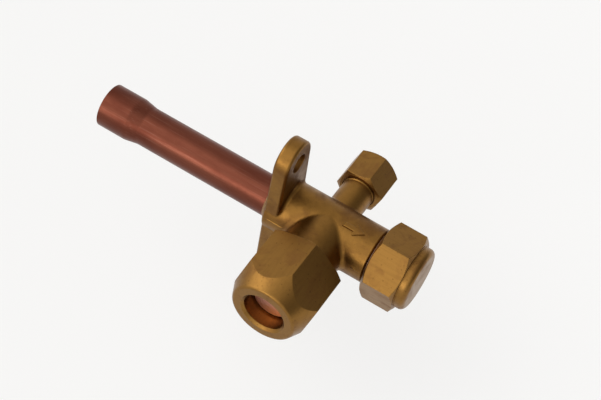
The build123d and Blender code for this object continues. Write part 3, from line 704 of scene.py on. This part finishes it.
class VALVE_OT_parting_line(Operator):
    """Leave the trimmed flash of the forging dies as a thin ridge along both sides of the barrel"""

    bl_idname = "valve.parting_line"
    bl_label = "Parting Line"

    def execute(self, context):
        mark = context.scene.valve_mark
        points, faces = [], []
        for side, start, end in FLASH_RUNS:
            self.ridge(mark, side, start * MM, end * MM, points, faces)
        piece = add_mesh_object("parting_line", points, faces, mark_brass(context.scene.valve_finish))
        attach(piece, "valve")
        return {"FINISHED"}

    def ridge(self, mark, side, start, end, points, faces):
        """One run of the ridge, a low arch across that sinks into the barrel at both ends."""
        first = len(points)
        for row in range(FLASH_ROWS + 1):
            share = row / FLASH_ROWS
            along = start + (end - start) * share
            # the trimmed edge wanders a little and fades out at its ends
            wander = LONG_WANDER * sin(share * LONG_WAVES + side) + SHORT_WANDER * sin(share * SHORT_WAVES)
            fade = min(1.0, FLASH_FADE * share, FLASH_FADE * (1 - share))
            for column in range(FLASH_COLUMNS + 1):
                spread = column / FLASH_COLUMNS * 2 - 1
                height = (mark.flash_height * (1 - spread * spread) + FLASH_SINK) * fade - FLASH_SINK
                up = mark.flash_level + wander + spread * mark.flash_width / 2
                radius = mark.barrel + height
                points.append((along, side * sqrt(radius * radius - up * up), up))
        for row in range(FLASH_ROWS):
            for column in range(FLASH_COLUMNS):
                a = first + row * (FLASH_COLUMNS + 1) + column
                b = a + FLASH_COLUMNS + 1
                faces.append((a, b, b + 1, a + 1) if side < 0 else (a, a + 1, b + 1, b))


class VALVE_OT_stage(Operator):
    """Set the camera, the pale floor, the soft lamp and the room light"""

    bl_idname = "valve.stage"
    bl_label = "Stage"

    def execute(self, context):
        stage = context.scene.valve_stage
        context.scene.camera = self.camera(stage)
        self.floor(stage)
        self.lamp(stage)
        context.scene.world = self.room(stage)
        context.scene.view_settings.view_transform = "Standard"
        return {"FINISHED"}

    def camera(self, stage):
        data = bpy.data.cameras.new("camera")
        data.sensor_width = SENSOR_MM
        data.lens = stage.lens
        data.clip_start, data.clip_end = CLIP_NEAR, CLIP_FAR
        level = cos(stage.elevation)
        back = Vector((sin(stage.azimuth) * level, -cos(stage.azimuth) * level, sin(stage.elevation)))
        place = Vector((stage.target_x, 0, stage.target_z)) + back * stage.distance
        right = (-back).cross(UP).normalized()
        up = right.cross(-back)
        turned_right = right * cos(stage.roll) + up * sin(stage.roll)
        turned_up = up * cos(stage.roll) - right * sin(stage.roll)
        facing = Matrix((turned_right, turned_up, back)).transposed().to_4x4()
        obj = add_object("camera", data)
        obj.matrix_world = Matrix.Translation(place) @ facing
        return obj

    def floor(self, stage):
        """A pale floor that camera, glossy and transmission rays see closer to plain white."""
        material = bpy.data.materials.new("pale_floor")
        material.use_nodes = True
        tree = material.node_tree
        tree.nodes.clear()
        mottle = add_node(tree, "ShaderNodeTexNoise", {"Scale": 30.0, "Detail": 3.0}).outputs["Fac"]
        rough = add_node(tree, "ShaderNodeMapRange", {"Value": mottle, "To Min": 0.75, "To Max": 0.9}).outputs[0]
        matt = add_node(tree, "ShaderNodeBsdfDiffuse", {"Color": rgba(stage.floor), "Roughness": rough})
        white = add_node(tree, "ShaderNodeEmission", {"Color": (1, 1, 1, 1), "Strength": 1.0})
        rays = add_node(tree, "ShaderNodeLightPath").outputs
        seen = add_maths(tree, "MAXIMUM", rays["Is Camera Ray"], rays["Is Glossy Ray"])
        seen = add_maths(tree, "MAXIMUM", seen, rays["Is Transmission Ray"])
        share = add_maths(tree, "MULTIPLY", seen, stage.glow)
        mixed = add_node(tree, "ShaderNodeMixShader", {0: share, 1: matt.outputs[0], 2: white.outputs[0]})
        add_node(tree, "ShaderNodeOutputMaterial", {"Surface": mixed.outputs[0]})
        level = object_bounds()[0][2] - stage.floor_drop
        corners = [(x * FLOOR_HALF, y * FLOOR_HALF, level) for x, y in ((-1, -1), (1, -1), (1, 1), (-1, 1))]
        obj = add_mesh_object("floor", corners, [(0, 1, 2, 3)], material)
        obj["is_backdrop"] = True

    def lamp(self, stage):
        """A large soft lamp that faces the origin."""
        lamp = bpy.data.lights.new("key_lamp", "AREA")
        lamp.shape = "RECTANGLE"
        lamp.size, lamp.size_y = LAMP_SIZE
        lamp.energy = stage.key
        lamp.color = WARM_WHITE
        facing = Vector(LAMP_PLACE).to_track_quat("Z", "Y").to_matrix().to_4x4()
        obj = add_object("key_lamp", lamp)
        obj.matrix_world = Matrix.Translation(LAMP_PLACE) @ facing

    def room(self, stage):
        """A dim room, brighter in front and to the left, darker to the right."""
        world = bpy.data.worlds.new("room")
        world.use_nodes = True
        tree = world.node_tree
        tree.nodes.clear()
        direction = add_node(tree, "ShaderNodeTexCoord").outputs["Generated"]
        level = stage.room
        for towards, low, high, share, setting in ROOM_SIDES:
            inputs = {0: direction, 1: Vector(towards).normalized()}
            facing = add_node(tree, "ShaderNodeVectorMath", inputs, operation="DOT_PRODUCT").outputs["Value"]
            full = share * getattr(stage, setting)
            inputs = {"Value": facing, "From Min": low, "From Max": high, "To Max": full}
            side = add_node(tree, "ShaderNodeMapRange", inputs, interpolation_type="SMOOTHSTEP")
            level = add_maths(tree, "ADD", level, side.outputs["Result"])
        light = add_node(tree, "ShaderNodeBackground", {"Color": (*WARM_WHITE, 1), "Strength": level})
        add_node(tree, "ShaderNodeOutputWorld", {"Surface": light.outputs[0]})
        return world


# ---------------------------------------------------------------- panel and registration
OPERATORS = (
    VALVE_OT_brass,
    VALVE_OT_copper,
    VALVE_OT_small_parts,
    VALVE_OT_threads,
    VALVE_OT_flow_arrow,
    VALVE_OT_parting_line,
    VALVE_OT_stage,
)


class VALVE_PT_sidebar(Panel):
    bl_label = "Service Valve"
    bl_idname = "VALVE_PT_sidebar"
    bl_space_type = "VIEW_3D"
    bl_region_type = "UI"
    bl_category = "Service Valve"

    def draw(self, context):
        for operator in OPERATORS:
            self.layout.operator(operator.bl_idname)
        for name, group in SETTINGS.items():
            box = self.layout.box()
            box.label(text=group.__doc__)
            for setting in group.__annotations__:
                box.prop(getattr(context.scene, name), setting)


CLASSES = (*SETTINGS.values(), *OPERATORS, VALVE_PT_sidebar)


def register():
    for cls in CLASSES:
        bpy.utils.register_class(cls)
    for name, group in SETTINGS.items():
        setattr(bpy.types.Scene, name, PointerProperty(type=group))


def unregister():
    for name in SETTINGS:
        delattr(bpy.types.Scene, name)
    for cls in reversed(CLASSES):
        bpy.utils.unregister_class(cls)


def main():
    """Registers the add-on and makes every piece and the stage."""
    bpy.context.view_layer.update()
    register()
    bpy.ops.valve.brass()
    bpy.ops.valve.copper()
    bpy.ops.valve.small_parts()
    bpy.ops.valve.threads()
    bpy.ops.valve.flow_arrow()
    bpy.ops.valve.parting_line()
    bpy.ops.valve.stage()


if __name__ == "__main__":
    main()
